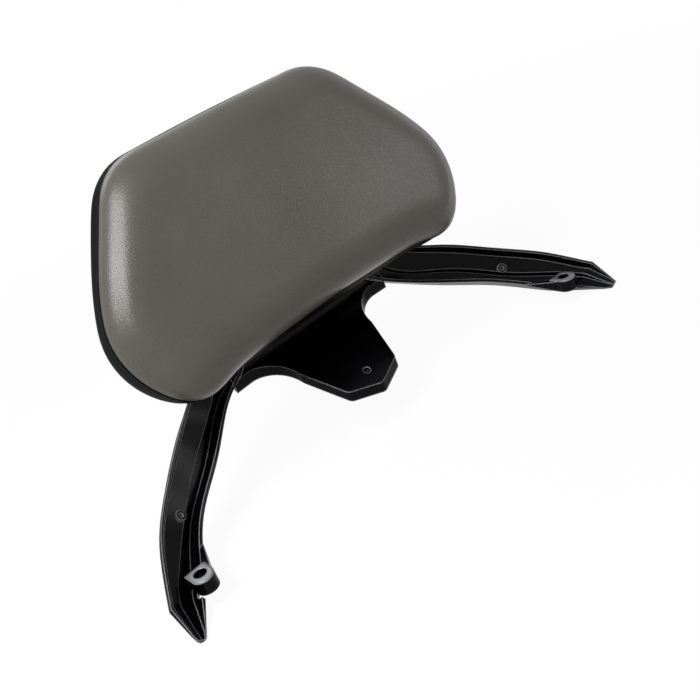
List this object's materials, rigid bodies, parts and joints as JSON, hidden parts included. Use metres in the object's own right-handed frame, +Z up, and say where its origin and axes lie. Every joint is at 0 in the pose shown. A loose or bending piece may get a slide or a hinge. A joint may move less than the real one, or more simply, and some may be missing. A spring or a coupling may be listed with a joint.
{
  "type": "motorcycle backrest",
  "caption": "Padded passenger backrest on a cast bracket: a leaning trapezoid cushion, a tongue below it and two curved open-channel arms ending in bolt bosses and blade-like tips.",
  "frame": {"origin": "midway between the two machined bolt seats at the ends of the arms, on the seats' top faces", "axes": "X runs across from one bolt seat to the other, -Y points towards the passenger that leans on the pad, +Z is up when the backrest stands on the motorcycle"},
  "size_m": [0.412, 0.1411, 0.2377],
  "materials": {
    "casting_paint": "gloss black paint over a cast light alloy, machined bare on the two bolt seats",
    "base_plastic": "moulded black plastic board with a fine texture",
    "foam": "open-cell cushion foam",
    "face_cover": "warm grey grained synthetic leather",
    "band_cover": "black synthetic leather, finer grain, satin",
    "brass_insert": "turned brass",
    "dark_steel": "black oxide steel",
    "wire_steel": "bright galvanised wire"
  },
  "bodies": {
    "root": {"bracket_casting": "casting_paint", "pad_base": "base_plastic", "foam_core": "foam", "face_panel": "face_cover", "side_band": "band_cover", "threaded_inserts": "brass_insert", "pad_bolts": "dark_steel", "pad_washers": "dark_steel", "cover_staples": "wire_steel"}
  },
  "joints": []
}
